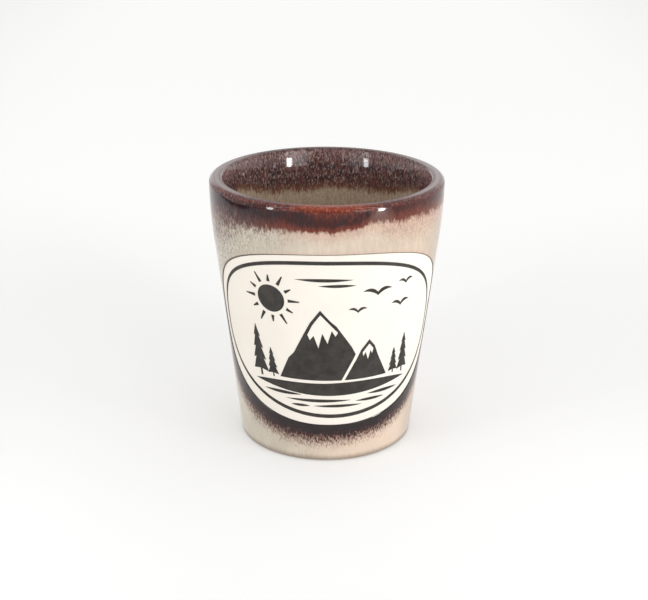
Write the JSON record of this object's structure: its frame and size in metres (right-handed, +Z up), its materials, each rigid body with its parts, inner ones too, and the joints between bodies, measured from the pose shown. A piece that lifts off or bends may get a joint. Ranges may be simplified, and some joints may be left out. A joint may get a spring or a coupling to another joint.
{
  "type": "stoneware shot cup",
  "caption": "Small tapered stoneware shot cup with a dark brown glazed lip, cream glazed walls and a bordered ivory panel that carries a printed lake picture.",
  "frame": {"origin": "centre of the foot ring, on the surface that the cup stands on", "axes": "+Z up the cup's axis, -Y towards the front where the picture panel faces, +X to the viewer's right"},
  "size_m": [0.05, 0.05, 0.0584],
  "materials": {
    "bare_clay": "unglazed fired stoneware, fine grain",
    "cream_glaze": "glossy cream glaze with faint streaks",
    "liner_glaze": "glossy olive cream glaze with fine streaks",
    "brown_glaze": "glossy dark brown glaze that breaks to rust red",
    "ivory_slip": "matte ivory slip",
    "charcoal_ink": "matte fired charcoal ink"
  },
  "bodies": {
    "root": {"stoneware_body": "bare_clay", "rim_brown_glaze": "brown_glaze", "outside_cream_glaze": "cream_glaze", "under_panel_brown_glaze": "brown_glaze", "inside_cream_glaze": "liner_glaze", "ivory_panel": "ivory_slip", "border_line": "charcoal_ink", "lake_shore": "charcoal_ink", "tall_peak": "charcoal_ink", "low_peak": "charcoal_ink", "sun_disc": "charcoal_ink", "sun_ray_1": "charcoal_ink", "sun_ray_2": "charcoal_ink", "sun_ray_3": "charcoal_ink", "sun_ray_4": "charcoal_ink", "sun_ray_5": "charcoal_ink", "sun_ray_6": "charcoal_ink", "sun_ray_7": "charcoal_ink", "sun_ray_8": "charcoal_ink", "sun_ray_9": "charcoal_ink", "sun_ray_10": "charcoal_ink", "sun_ray_11": "charcoal_ink", "sun_ray_12": "charcoal_ink", "conifer_1": "charcoal_ink", "conifer_2": "charcoal_ink", "conifer_3": "charcoal_ink", "conifer_4": "charcoal_ink", "gull_1": "charcoal_ink", "gull_2": "charcoal_ink", "gull_3": "charcoal_ink", "gull_4": "charcoal_ink", "ripple_1": "charcoal_ink", "ripple_2": "charcoal_ink", "ripple_3": "charcoal_ink", "ripple_4": "charcoal_ink", "ripple_5": "charcoal_ink", "ripple_6": "charcoal_ink", "cloud_1": "charcoal_ink", "cloud_2": "charcoal_ink"}
  },
  "joints": []
}
